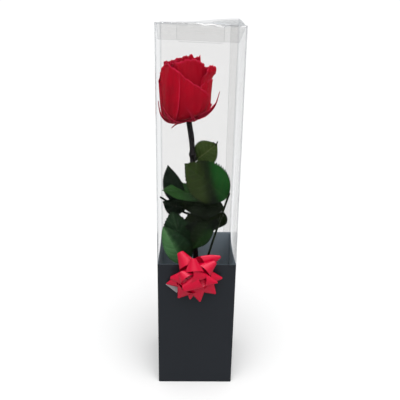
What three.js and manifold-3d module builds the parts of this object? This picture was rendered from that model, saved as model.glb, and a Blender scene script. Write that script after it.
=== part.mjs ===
// A preserved red rose in a tall gift box of folded clear plastic, printed black at the bottom, with a ribbon star bow.
// Units are millimetres and +Z is up. The origin is the middle of the box's bottom. The front, with the bow, faces -Y.
import * as THREE from "three";
import { mergeVertices } from "three/addons/utils/BufferGeometryUtils.js";
import Module from "manifold-3d";

const wasm = await Module();
wasm.setup();

// ---------- driving dimensions ----------
const BOX_WIDTH = 85; // outside, square in plan
const BOX_HEIGHT = 400;
const PRINT_HEIGHT = 156; // top of the black print
const WALL = 0.6; // plastic sheet
const FOLD_RADIUS = 1.4; // at the four long folds
const FLOOR = 1.2; // two layers of folded bottom flap
const GAP = 0.3; // clearance between pieces that only lie against each other

const GLUE_FLAP_WIDTH = 8.5; // the sheet's last panel, stuck inside the back wall
const DUST_FLAP_DEPTH = 30; // the side walls' flaps, folded in under the lid
const TUCK_HEIGHT = 15; // the lid's flap behind the front wall
const TUCK_LEAN = 0.1; // how far it leans in for each mm down, so that it swings clear of the front wall
const TUCK_TAPER = 5; // how much each end comes in towards the bottom
const SEAL = { width: 44, drop: 16.5, reach: 22, thick: 0.5, centre: -0.5 };

const FOAM = { width: 76, height: 62, hole: 3.6 };
const STEM_RADIUS = 3.1;
const STEM_PATH = [
  [0, 0, 3],
  [0, 0, 60],
  [0, 0, 120],
  [-2.5, 0, 180],
  [-4.6, 0, 235],
  [-6.1, 0, 266],
  [-7.4, 0, 283],
  [-9.8, 0, 298.5],
];
const KNOB_HEIGHT = 266.5;

const BLOOM = { x: -12.8, y: 0, z: 303 };
const CUP_X = -10.4; // the stem meets the head a little off its middle
const BOW = { x: -2.5, z: 147, ribbon: 16, thick: 0.8, pad: 7.5, padThick: 1.2 };

// ---------- solids ----------
const vec = (x, y, z) => new THREE.Vector3(x, y, z);

/** A manifold solid from a closed three.js geometry, joining the vertices that its faces share. */
function solid(geometry) {
  const bare = geometry.clone();
  bare.deleteAttribute("normal");
  bare.deleteAttribute("uv");
  const merged = mergeVertices(bare, 1e-4);
  return new wasm.Manifold(
    new wasm.Mesh({
      numProp: 3,
      vertProperties: new Float32Array(merged.attributes.position.array),
      triVerts: new Uint32Array(merged.index.array),
    }),
  );
}

/** The three.js geometry of a manifold solid. */
function geometryOf(body) {
  const mesh = body.getMesh();
  const points = new Float32Array(mesh.numVert * 3);
  for (let i = 0; i < mesh.numVert; i++) {
    const at = i * mesh.numProp;
    points.set(mesh.vertProperties.subarray(at, at + 3), i * 3);
  }
  return new THREE.BufferGeometry()
    .setAttribute("position", new THREE.BufferAttribute(points, 3))
    .setIndex(new THREE.BufferAttribute(mesh.triVerts, 1));
}

/** The solids joined into one. A scrap that a join leaves loose is dropped. */
function fuse(solids) {
  const bodies = solids.reduce((all, next) => all.add(next)).decompose();
  return bodies.reduce((largest, next) => (next.volume() > largest.volume() ? next : largest));
}

/** A box between two corners. */
function block(low, high) {
  const size = high.map((h, i) => h - low[i]);
  const geometry = new THREE.BoxGeometry(...size);
  return solid(geometry.translate(...low.map((l, i) => l + size[i] / 2)));
}

/** A flat outline of [x, y] points pushed along Z from one height to another. */
function prism(points, from, to) {
  const shape = new THREE.Shape(points.map(([x, y]) => new THREE.Vector2(x, y)));
  const geometry = new THREE.ExtrudeGeometry(shape, { depth: to - from, bevelEnabled: false });
  return solid(geometry.translate(0, 0, from));
}

/** A square ring of walls with rounded folds, standing between two heights. */
function squareTube(width, wall, from, to) {
  const square = (target, half, radius) => {
    const corners = [[1, -1], [1, 1], [-1, 1], [-1, -1]];
    corners.forEach(([sx, sy], i) => {
      const start = ((i - 1) * Math.PI) / 2;
      target.absarc(sx * (half - radius), sy * (half - radius), radius, start, start + Math.PI / 2);
    });
    target.closePath();
    return target;
  };
  const shape = square(new THREE.Shape(), width / 2, FOLD_RADIUS);
  shape.holes.push(square(new THREE.Path(), width / 2 - wall, FOLD_RADIUS - wall));
  const options = { depth: to - from, bevelEnabled: false, curveSegments: 3 };
  return solid(new THREE.ExtrudeGeometry(shape, options).translate(0, 0, from));
}

/**
 * A thin blade through a grid of points, half its thickness to each side. Both faces are split into triangles alike.
 * pointAt(u, v) gives the middle surface, with u from 0 to 1 along the rows and v from -1 to 1 across them.
 */
function blade(rows, columns, thickness, pointAt) {
  const middle = [];
  for (let i = 0; i <= rows; i++)
    for (let j = 0; j <= columns; j++) middle.push(pointAt(i / rows, (2 * j) / columns - 1));
  const at = (i, j) => i * (columns + 1) + j;
  const clamp = (k, top) => Math.min(Math.max(k, 0), top);
  const points = [];
  const offsets = [];
  for (let i = 0; i <= rows; i++)
    for (let j = 0; j <= columns; j++) {
      const along = middle[at(clamp(i + 1, rows), j)].clone().sub(middle[at(clamp(i - 1, rows), j)]);
      const across = middle[at(i, clamp(j + 1, columns))].clone().sub(middle[at(i, clamp(j - 1, columns))]);
      offsets.push(along.cross(across).normalize().multiplyScalar(thickness / 2));
    }
  middle.forEach((p, k) => points.push(p.clone().add(offsets[k])));
  middle.forEach((p, k) => points.push(p.clone().sub(offsets[k])));
  const back = middle.length;
  const faces = [];
  for (let i = 0; i < rows; i++)
    for (let j = 0; j < columns; j++) {
      const [a, b, c, d] = [at(i, j), at(i + 1, j), at(i + 1, j + 1), at(i, j + 1)];
      faces.push([a, b, c], [a, c, d], [back + a, back + c, back + b], [back + a, back + d, back + c]);
    }
  const rim = [];
  for (let j = 0; j < columns; j++) rim.push(at(0, j));
  for (let i = 0; i < rows; i++) rim.push(at(i, columns));
  for (let j = columns; j > 0; j--) rim.push(at(rows, j));
  for (let i = rows; i > 0; i--) rim.push(at(i, 0));
  rim.forEach((a, k) => {
    const b = rim[(k + 1) % rim.length];
    faces.push([a, b, back + b], [a, back + b, back + a]);
  });
  return new wasm.Manifold(
    new wasm.Mesh({
      numProp: 3,
      vertProperties: new Float32Array(points.flatMap((p) => p.toArray())),
      triVerts: new Uint32Array(faces.flat()),
    }),
  );
}

/** A round bar along a smooth curve through the points. */
function bar(path, radius, steps, sides = 8) {
  const curve = new THREE.CatmullRomCurve3(path.map((p) => vec(...p)));
  const ring = Array.from({ length: sides }, (_, k) => {
    const turn = (2 * Math.PI * k) / sides;
    return new THREE.Vector2(radius * Math.cos(turn), radius * Math.sin(turn));
  });
  const options = { steps, extrudePath: curve, bevelEnabled: false };
  return solid(new THREE.ExtrudeGeometry(new THREE.Shape(ring), options));
}

/** A ball, or an egg where the scale isn't even. */
function ball(centre, radius, scale = [1, 1, 1], sides = 8) {
  const geometry = new THREE.SphereGeometry(radius, sides, Math.ceil(sides * 0.6));
  return solid(geometry.rotateX(Math.PI / 2).scale(...scale).translate(...centre));
}

// ---------- the folded box ----------
const half = BOX_WIDTH / 2;
const inside = half - WALL;
const lidUnder = BOX_HEIGHT - WALL;
const dustTop = lidUnder - GAP;

/** The sheet's last panel, stuck flat inside the back wall at the right corner. */
function glueFlap(from, to) {
  return block([inside - GLUE_FLAP_WIDTH, inside - WALL, from], [inside + WALL / 2, inside + WALL / 2, to]);
}

function boxBase() {
  const floor = block([-inside - 0.1, -inside - 0.1, 0], [inside + 0.1, inside + 0.1, FLOOR]);
  return fuse([squareTube(BOX_WIDTH, WALL, 0, PRINT_HEIGHT), floor, glueFlap(FLOOR / 2, PRINT_HEIGHT)]);
}

/** A side wall's flap, folded in under the lid, its free corners cut off at a slant. */
function dustFlap(side) {
  const root = side * (half - WALL / 2);
  const reach = side * (half - DUST_FLAP_DEPTH);
  const slant = 6;
  const long = inside - 3.5;
  const outline = [
    [root, -long],
    [reach + side * slant, -long],
    [reach, slant - long],
    [reach, long - slant],
    [reach + side * slant, long],
    [root, long],
  ];
  return prism(side > 0 ? outline.reverse() : outline, dustTop - WALL, dustTop);
}

function clearSleeve() {
  const walls = squareTube(BOX_WIDTH, WALL, PRINT_HEIGHT, BOX_HEIGHT);
  const lidRoom = block([-half - 1, -inside, dustTop], [half + 1, half + 1, BOX_HEIGHT + 1]);
  const flap = glueFlap(PRINT_HEIGHT, dustTop - WALL - 1);
  return fuse([walls.subtract(lidRoom), flap, dustFlap(-1), dustFlap(1)]);
}

/** The lid lies between the wall tops. Its tuck flap leans in a little on its way down. */
function lid() {
  const front = -inside + GAP;
  const panel = block([-half + GAP, front, lidUnder], [half - GAP, half, BOX_HEIGHT]);
  const top = inside - 0.9;
  const tuck = blade(3, 4, WALL, (u, v) => {
    const down = u * TUCK_HEIGHT;
    const round = u > 0.99 ? 1.5 * (1 - Math.abs(v)) : 0;
    const reach = top - TUCK_TAPER * u;
    return vec(v * reach, front + WALL / 2 + down * TUCK_LEAN, BOX_HEIGHT - 0.2 - down - round * 0.2);
  });
  return fuse([panel, tuck]);
}

function sealStrip() {
  const { width, drop, reach, thick, centre } = SEAL;
  const left = centre - width / 2;
  const right = centre + width / 2;
  const onTop = block([left, -half - thick, BOX_HEIGHT], [right, -half + reach, BOX_HEIGHT + thick]);
  const cut = 2.5;
  const low = BOX_HEIGHT - drop;
  const outline = [
    [left, BOX_HEIGHT + thick],
    [left, low + cut],
    [left + cut, low],
    [right - cut, low],
    [right, low + cut],
    [right, BOX_HEIGHT + thick],
  ];
  const shape = new THREE.Shape(outline.map(([x, z]) => new THREE.Vector2(x, z)));
  const sheet = new THREE.ExtrudeGeometry(shape, { depth: thick, bevelEnabled: false });
  return fuse([onTop, solid(sheet.rotateX(Math.PI / 2).translate(0, -half, 0))]);
}

// ---------- the rose ----------
/** The foam block that holds the stem, with its plain hole. */
function stemHolder() {
  const foam = block([-FOAM.width / 2, -FOAM.width / 2, FLOOR], [FOAM.width / 2, FOAM.width / 2, FOAM.height]);
  const hole = new THREE.CylinderGeometry(FOAM.hole, FOAM.hole, FOAM.height, 16);
  return foam.subtract(solid(hole.rotateX(Math.PI / 2).translate(0, 0, FLOOR + 1.5 + FOAM.height / 2)));
}

function stem() {
  const knob = ball([-6.6, -0.4, KNOB_HEIGHT], 4.1, [1, 1, 0.85]);
  const lowKnob = ball([-2.2, 0, 172], 3.8, [1, 1, 0.9]);
  return fuse([bar(STEM_PATH, STEM_RADIUS, 12), knob, lowKnob]);
}

/**
 * The middle surface of a petal, as a piece of a turned cup. Its side profile is a Bezier curve from the claw out over a
 * flat bottom to the belly and up to the rim. rim is the rim's radius against the belly's, open is how far the rim curls
 * out, skew takes one edge in and the other out, and dropLeft and dropRight lower the rim towards each edge.
 */
function petalPoint(petal, u, v) {
  const { turn, span, radius, height, rim, open, skew, dropLeft, dropRight } = petal;
  const rise = u * (1 - (v < 0 ? dropLeft : dropRight) * Math.abs(v) ** 2);
  const w = 1 - rise;
  const outer = radius * (3 * 1.35 * w * w * rise + 3 * 1.08 * w * rise * rise + rim * rise ** 3);
  const z = height * (3 * 0.45 * w * rise * rise + rise ** 3);
  const curl = Math.max(0, (rise - 0.74) / 0.26) ** 2;
  const wide = span * (0.45 + 0.55 * Math.sin((Math.PI / 2) * Math.min(1, rise * 1.5)));
  const angle = turn + v * wide;
  const out = 3 * w ** 3 + outer + open * curl + skew * v * Math.min(1, rise * 2);
  return vec(
    BLOOM.x + out * Math.cos(angle),
    BLOOM.y + out * Math.sin(angle),
    BLOOM.z + z - 0.4 * open * curl,
  );
}

const degrees = Math.PI / 180;
const PETAL = { span: 50, rim: 0.94, open: 1, skew: 1.3, dropLeft: 0.1, dropRight: 0.1 };

/** The outer petals, as they lie round the head. turn is 0 to the right and -90 at the front. */
const OUTER_PETALS = [
  { turn: -163, span: 54, radius: 26.5, height: 58, open: 1.2, dropRight: 0.06 }, // left, rolled out a little
  { turn: -64, span: 46, radius: 26.2, height: 54, open: 0.3, dropLeft: 0.01, dropRight: 0.6 }, // front
  { turn: -12, span: 42, radius: 24.2, height: 38, open: 0.6 }, // low on the right
  { turn: 62, span: 50, radius: 25.2, height: 58 },
  { turn: 124, span: 48, radius: 25.8, height: 61 },
  { turn: -2, span: 38, radius: 21.2, height: 58, rim: 1.04, open: 5.5 }, // right, its rim rolled well out
  { turn: -80, span: 60, radius: 22.4, height: 64, rim: 0.88, open: 0.5 },
  { turn: -168, span: 50, radius: 22, height: 65, rim: 0.9 },
  { turn: 96, span: 62, radius: 21.4, height: 67, rim: 0.9 },
];

/** Rings of inner petals, from the outermost in. */
const INNER_RINGS = [
  { count: 4, turn: -40, span: 52, radius: 17, height: 67, rim: 0.88, open: 0.4 },
  { count: 3, turn: -80, span: 64, radius: 11.8, height: 67, rim: 0.84, open: 0 },
  { count: 2, turn: 20, span: 92, radius: 6.6, height: 65, rim: 0.75, open: 0 },
];

function bloom() {
  const rings = INNER_RINGS.flatMap((ring) =>
    Array.from({ length: ring.count }, (_, k) => ({ ...ring, turn: ring.turn + (360 * k) / ring.count })),
  );
  const petals = [...OUTER_PETALS, ...rings].map((own) => {
    const petal = { ...PETAL, ...own };
    petal.turn *= degrees;
    petal.span *= degrees;
    return blade(6, 5, 0.9, (u, v) => petalPoint(petal, u, v));
  });
  const core = ball([BLOOM.x, BLOOM.y, BLOOM.z + 8.6], 9, [1, 1, 1], 10);
  return fuse([core, ...petals]);
}

/** Sepals, by direction round the stem, belly radius, length along the head, and how far the tip stands off and hangs. */
const SEPALS = [
  { turn: -14, radius: 26.4, length: 0.7, off: 6, sag: 0 },
  { turn: -152, radius: 28.3, length: 0.55, off: 0, sag: 0 },
  { turn: -112, radius: 28.3, length: 0.13, off: 2, sag: 5 },
  { turn: 62, radius: 28, length: 0.55, off: 2, sag: 0 },
  { turn: 134, radius: 28, length: 0.52, off: 0.6, sag: 0 },
];

/** The cup under the head and its sepals, which follow the outer petals' profile a little further out. */
function calyx() {
  const profile = [[0, -4.2], [2.6, -4], [4.6, -2.8], [5.6, -1.1], [4, -0.8], [0, -0.8]];
  const cup = new THREE.LatheGeometry(profile.map(([r, z]) => new THREE.Vector2(r, z)), 12);
  const body = solid(cup.rotateX(Math.PI / 2).translate(CUP_X, BLOOM.y, BLOOM.z));
  const leaves = SEPALS.map(({ turn, radius, length, off, sag }) =>
    blade(7, 2, 0.9, (u, v) => {
      const t = u * length;
      const w = 1 - t;
      const r = radius * (3 * 1.35 * w * w * t + 3 * 1.08 * w * t * t + 0.94 * t ** 3) + off * u ** 2;
      const z = 57 * (3 * 0.45 * w * t * t + t ** 3) - 1.75 - sag * u ** 2;
      const halfWidth = 0.45 + 3 * Math.sin(Math.PI * Math.min(1, u * 0.7 + 0.3)) * (1 - u) ** 0.6;
      const angle = turn * degrees + (v * halfWidth) / Math.max(r, 4);
      const middle = CUP_X + (BLOOM.x - CUP_X) * Math.min(1, 4 * t);
      return vec(middle + r * Math.cos(angle), BLOOM.y + r * Math.sin(angle), BLOOM.z + z);
    }),
  );
  return fuse([body, ...leaves]);
}

/**
 * One leaflet with toothed edges, from its base to its tip. face is where its upper side looks, cup lifts the edges,
 * arch bows the midrib and wave ripples the edges.
 */
function leaflet({ base, tip, face, width, cup = 0.12, arch = 2, wave = 0.6, teeth = 6 }) {
  const start = vec(...base);
  const along = vec(...tip).sub(start);
  const side = along.clone().cross(vec(...face)).normalize();
  const up = side.clone().cross(along).normalize();
  const rows = teeth * 2;
  return blade(rows, 4, 0.7, (u, v) => {
    const i = Math.round(u * rows);
    const shape = Math.sin(Math.PI * u ** 0.82) ** 0.62;
    const tooth = i % 2 ? 1.045 : 0.955;
    const edge = Math.max(0.6, (width / 2) * shape * tooth);
    const point = start.clone().addScaledVector(along, u);
    point.addScaledVector(side, v * edge);
    const ripple = wave * Math.abs(v) * Math.sin(u * 9 + v * 1.5);
    return point.addScaledVector(up, cup * Math.abs(v) * edge + arch * 4 * u * (1 - u) + ripple);
  });
}

const TOP_LEAF = {
  stalk: [[-2.6, 1.6, 259.5], [-1.4, 3.2, 261.5], [0.5, 4.2, 263]],
  leaflets: [{ base: [-1.5, 4, 260], tip: [20.5, 7, 276.5], face: [0.1, -1, 0.25], width: 28 }],
};

const RIGHT_LEAF = {
  stalk: [[3.1, -2.9, 92], [6, -13, 122], [14.3, -27, 165.8], [24.1, -28, 202.1], [32.8, -29, 232.8]],
  leaflets: [
    { base: [30.3, -28.3, 228], tip: [-14.5, -12, 259.5], face: [0.15, -1, 0.3], width: 43, arch: 3, teeth: 8 },
    { base: [27.2, -28, 214], tip: [-7, -14, 209], face: [0.1, -1, 0.5], width: 24 },
    { base: [24, -27.6, 203], tip: [-17, -14, 191], face: [-0.1, -1, 0.35], width: 29 },
    { base: [15, -26.8, 198], tip: [-4.5, -29, 170.5], face: [-0.3, -1, 0.3], width: 27 },
    { base: [26, -27.5, 211], tip: [13.5, -12, 183], face: [0.35, -1, 0.1], width: 22 },
  ],
  twigs: [[[21.6, -28, 193], [18, -27.4, 195.5], [14.5, -26.9, 197.5]]],
};

const LEFT_LEAF = {
  stalk: [[-6.6, -2.2, 194], [-9.5, -5, 199], [-15.8, -8, 203], [-28, -11, 213], [-39.8, -14, 222]],
  leaflets: [
    { base: [-7, -11, 226], tip: [-38, -18, 232.5], face: [0, -0.3, 1], width: 27, arch: 2 },
    { base: [-20, -8.5, 213], tip: [-32.4, -5, 255.5], face: [-0.3, -1, 0.1], width: 23 },
    { base: [-14, -7, 210.5], tip: [-37.5, -17, 218], face: [0.2, -1, -0.25], width: 22 },
  ],
  twigs: [[[-15.8, -8, 203], [-12, -9, 214], [-8.5, -11, 226.5]]],
};

const LOW_LEAF = {
  stalk: [[-3.2, -2.6, 100], [-8, -11, 118], [-13, -16.5, 136], [-15.8, -18, 149]],
  leaflets: [{ base: [-14.5, -17.5, 143.5], tip: [-30, -21.5, 205], face: [-0.1, -1, 0.2], width: 36, teeth: 8 }],
};

/** A compound leaf: its stalk, its leaflets and any side twigs as one body. */
function compoundLeaf({ stalk, leaflets, twigs = [] }) {
  const twig = (path) => bar(path, 0.75, 5, 6);
  return fuse([bar(stalk, 0.85, 8, 6), ...twigs.map(twig), ...leaflets.map(leaflet)]);
}

// ---------- the bow ----------
const padFront = -half - BOW.padThick;

/**
 * Ribbon loops in three tiers, each by its tip, in mm to the right of the hub, out from the wall and up. aim moves the
 * place in the hub that the loop's cone points to. cone is half the cone's angle, blunt is how far the ribbon's outer edge
 * stays from the cone's point, flat is how high the loop is against its width, and tilt is how far its mouth is raised.
 */
const TIERS = [
  {
    height: 2,
    loops: [
      { tip: [30, 2, 20.6], aim: [-4, 12], cone: 18, blunt: 1.5, ribbon: 20, flat: 0.5, tilt: 3 },
      { tip: [31.5, 3, -5.1], cone: 28, blunt: 2 },
      { tip: [24, 4, -24.6], cone: 33, blunt: 1.5, flat: 0.5, tilt: 6 },
      { tip: [-4.7, 3, -32.7], cone: 27, blunt: 1.5, flat: 0.5, tilt: 6 },
      { tip: [-31.3, 2, -13.4], cone: 26, blunt: 1.5 },
    ],
  },
  {
    height: 6.5,
    loops: [
      { tip: [-20, 5, 34.9], cone: 21, blunt: 8.5, tilt: 5 },
      { tip: [25.7, 8, 20.5], cone: 25, blunt: 5, tilt: 8, ribbon: 14 },
      { tip: [-28.2, 7, -2.7], cone: 28, blunt: 3 },
      { tip: [-17.9, 6, -29], cone: 32, blunt: 1.5, flat: 0.5, tilt: 6 },
      { tip: [6.7, 6, -33.8], cone: 28, blunt: 1.5, flat: 0.5, tilt: 6 },
      { tip: [25.8, 14, -4.5], cone: 28, blunt: 1.5, ribbon: 14, flat: 0.6 },
    ],
  },
  {
    height: 14,
    loops: [
      { tip: [15, 15, 3], aim: [-6, 6], cone: 34, blunt: 4, tilt: 2, flat: 0.5 },
      { tip: [-2.5, 15, 30], aim: [0.5, 0], cone: 26, blunt: 5, ribbon: 14, tilt: 4 },
      { tip: [-18.5, 17, 13.5], aim: [-4, -2], cone: 30, blunt: 5, ribbon: 9, tilt: 8 },
      { tip: [-15.5, 21, -14], aim: [6, 2], cone: 29, blunt: 5, ribbon: 17, tilt: 0, flat: 0.36 },
    ],
  },
];

/**
 * One loop: a straight ribbon wrapped on a cone whose point is the loop's tip. x runs along the flat ribbon, y is the
 * distance of its line from the cone's point, and both ends leave the cone and come together in the hub.
 */
function bowLoop({ tip, cone, blunt, ribbon = BOW.ribbon, aim = [0, 0], flat = 0.72, tilt = 14 }, height) {
  const hub = vec(BOW.x, padFront - height, BOW.z);
  const point = vec(BOW.x + tip[0], padFront - tip[1], BOW.z + tip[2]);
  const line = point.clone().sub(hub).sub(vec(aim[0], 0, aim[1]));
  const length = line.length();
  line.normalize();
  const side = vec(0, -1, 0).cross(line).normalize();
  const away = line.clone().cross(side);
  const raised = tilt * degrees;
  const axis = line.clone().multiplyScalar(Math.cos(raised)).addScaledVector(away, -Math.sin(raised));
  const front = line.clone().multiplyScalar(Math.sin(raised)).addScaledVector(away, Math.cos(raised));
  const slope = Math.sin(cone * degrees);
  return blade(10, 1, BOW.thick, (u, v) => {
    const along = 2 * u - 1;
    const x = (1.05 * length + 3) * Math.sign(along) * Math.abs(along) ** 1.4;
    const y = blunt + (ribbon * (v + 1)) / 2;
    const reach = Math.hypot(x, y);
    const turn = Math.atan2(x, y) / slope;
    const wide = reach * slope;
    const onCone = point.clone().addScaledVector(axis, -reach * Math.cos(cone * degrees));
    onCone.addScaledVector(front, wide * Math.cos(turn) * flat).addScaledVector(side, wide * Math.sin(turn));
    const apart = Math.sign(x) * (0.8 + (y - blunt) * 0.2);
    const inHub = hub.clone().addScaledVector(side, apart).addScaledVector(away, 1.5);
    return onCone.lerp(inHub, THREE.MathUtils.smoothstep(Math.abs(along), 0.55, 1));
  });
}

function bow() {
  const core = new THREE.CylinderGeometry(6, 6, 17, 12);
  const loops = TIERS.flatMap(({ height, loops }) => loops.map((loop) => bowLoop(loop, height)));
  const wallRoom = block([-60, padFront, 60], [60, 0, 220]);
  return fuse([solid(core.translate(BOW.x, padFront - 8.5, BOW.z)), ...loops]).subtract(wallRoom);
}

function bowPad() {
  const pad = new THREE.CylinderGeometry(BOW.pad, BOW.pad, BOW.padThick, 20);
  return solid(pad.translate(BOW.x, -half - BOW.padThick / 2, BOW.z));
}

// ---------- the scene graph ----------
const material = (color, roughness, extra = {}) =>
  new THREE.MeshStandardMaterial({ color, roughness, metalness: 0, ...extra });
const CLEAR = { transparent: true, opacity: 0.25 };

const PIECES = [
  ["box_base", boxBase, material(0x2d3035, 0.35)],
  ["clear_sleeve", clearSleeve, material(0xe8ecee, 0.1, CLEAR)],
  ["lid", lid, material(0xe8ecee, 0.1, CLEAR)],
  ["seal_strip", sealStrip, material(0xeef2f4, 0.15, CLEAR)],
  ["stem_holder", stemHolder, material(0x1e2420, 0.95)],
  ["stem", stem, material(0x322d30, 0.7)],
  ["bloom", bloom, material(0xa50c20, 0.6)],
  ["calyx", calyx, material(0x5a1220, 0.7)],
  ["leaf_top", () => compoundLeaf(TOP_LEAF), material(0x414d28, 0.55)],
  ["leaf_right", () => compoundLeaf(RIGHT_LEAF), material(0x243c22, 0.5)],
  ["leaf_left", () => compoundLeaf(LEFT_LEAF), material(0x1c2a1e, 0.5)],
  ["leaf_low", () => compoundLeaf(LOW_LEAF), material(0x3a5f38, 0.5)],
  ["bow_pad", bowPad, material(0xf2f2ee, 0.8)],
  ["bow", bow, material(0xd51432, 0.3)],
];

const giftBox = new THREE.Group();
giftBox.name = "preserved_rose_in_clear_gift_box";
for (const [name, make, finish] of PIECES) {
  const mesh = new THREE.Mesh(geometryOf(make()), finish);
  mesh.name = name;
  giftBox.add(mesh);
}

export default giftBox;
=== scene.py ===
"""Looks of a preserved red rose in a tall gift box of folded clear plastic, laid out as an add-on.

The tables and formulas below are in millimetres, and MM turns them into metres where a mesh is made. +Z is up, +X is
to the right and the front faces -Y. A grid has its rows along u, from 0 to 1, and its columns along v, from -1 to 1.
"""
from typing import NamedTuple

import bpy
import numpy as np
from mathutils import Matrix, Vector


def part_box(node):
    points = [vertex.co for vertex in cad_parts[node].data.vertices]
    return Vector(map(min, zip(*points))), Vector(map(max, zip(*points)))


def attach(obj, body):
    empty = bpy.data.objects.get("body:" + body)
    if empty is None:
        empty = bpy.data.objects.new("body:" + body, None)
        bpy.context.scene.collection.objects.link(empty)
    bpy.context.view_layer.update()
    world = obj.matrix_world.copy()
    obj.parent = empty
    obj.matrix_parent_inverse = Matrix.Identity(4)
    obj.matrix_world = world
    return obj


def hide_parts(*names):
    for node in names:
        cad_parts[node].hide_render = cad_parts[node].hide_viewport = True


bl_info = {
    "name": "Preserved rose in a clear gift box",
    "version": (1, 0, 0),
    "blender": (4, 5, 0),
    "location": "View3D > Sidebar > Gift rose",
    "description": "Dresses the gift box, the rose, its leaves and the ribbon bow",
    "category": "Object",
}

MM = 0.001
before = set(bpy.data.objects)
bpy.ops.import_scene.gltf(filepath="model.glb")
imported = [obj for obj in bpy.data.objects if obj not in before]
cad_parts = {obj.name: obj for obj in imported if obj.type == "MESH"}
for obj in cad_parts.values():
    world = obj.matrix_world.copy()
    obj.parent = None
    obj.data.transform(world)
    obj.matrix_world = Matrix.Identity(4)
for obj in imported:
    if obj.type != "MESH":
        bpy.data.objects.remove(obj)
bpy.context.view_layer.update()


def node_box(name):
    """Lowest and highest corner of a CAD node, in millimetres."""
    low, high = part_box(name)
    return np.array(low) / MM, np.array(high) / MM


# ---------- the box's sizes ----------
HALF = node_box("box_base")[1][0]
PRINT_TOP = node_box("box_base")[1][2]
BOX_TOP = node_box("clear_sleeve")[1][2]
WALL, FILM = 0.5, 0.22  # thickness of the sheet and of the seal film
INSIDE = HALF - WALL
FLOOR_TOP = 1.2
FOLD_RADIUS = 1.4
CORNER_STEPS, WALL_STEPS = 6, 14
GIVE = {"right": 1.7, "left": 0.7, "back": 0.8, "front": 0.0}  # how far each wall bows in
BACK_RIGHT_RISE, FRONT_LEFT_RISE = 4.4, 1.7  # how far the top's corners stand up
GLUE_HALF = 4.2  # half the glue flap's width
DUST_LENGTH = 31
TUCK_LENGTH = 15

# ---------- the stage ----------
FLOOR_HALF = 8  # metres
LIT_POINT = np.array([0, 0, 0.2])  # metres
SUNS = {"key": (65, (0.02, -0.55, 1.35)), "fill": (70, (0.1, -1.5, 0.2))}  # degrees across, and a place in metres
CAMERA_PLACE = np.array([-9.1, -531, 417.5])
CAMERA_ANGLES = (20.965, 1.297, 1.112)  # degrees down, to the right and leaning

# ---------- the rose's tables ----------
STEM_RADIUS = 3.1
STEM_PATH = [
    (0, 0, 3), (0, 0, 60), (0, 0, 120), (-2.5, 0, 180), (-4.6, 0, 235), (-6.1, 0, 266), (-7.4, 0, 283),
    (-10.1, 0, 300.5),
]
STEM_KNOBS = [(266.5, 1.1, 2.6), (172, 0.7, 2.4), (108, 0.5, 2.2)]  # height, rise, half length

BLOOM = np.array([-12.8, 0, 303])  # the middle of the bloom's foot
CUP_X = -10.4
# The side profile of a petal as shares of its radius and height, from the claw to the rim.
PROFILE = [
    (0.12, 0.03), (0.46, 0.034), (0.76, 0.066), (0.905, 0.155), (0.96, 0.31), (0.985, 0.49), (1, 0.665), (0.985, 0.835),
    (0.94, 1),
]
# What a petal has where its own table doesn't say otherwise. steps are those of its grid.
PETAL = dict(
    span=50, close=0, rim=(0.88, 0.94, 0.98, 1, 0.98, 0.94, 0.88), open=1, start=0.74, end=1, over=(1.1, 3, 0),
    skew=0.8, roll=0.5, tone=0.5, fold=1, tips=(), pleats=(), shades=(), steps=(62, 62),
)

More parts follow.
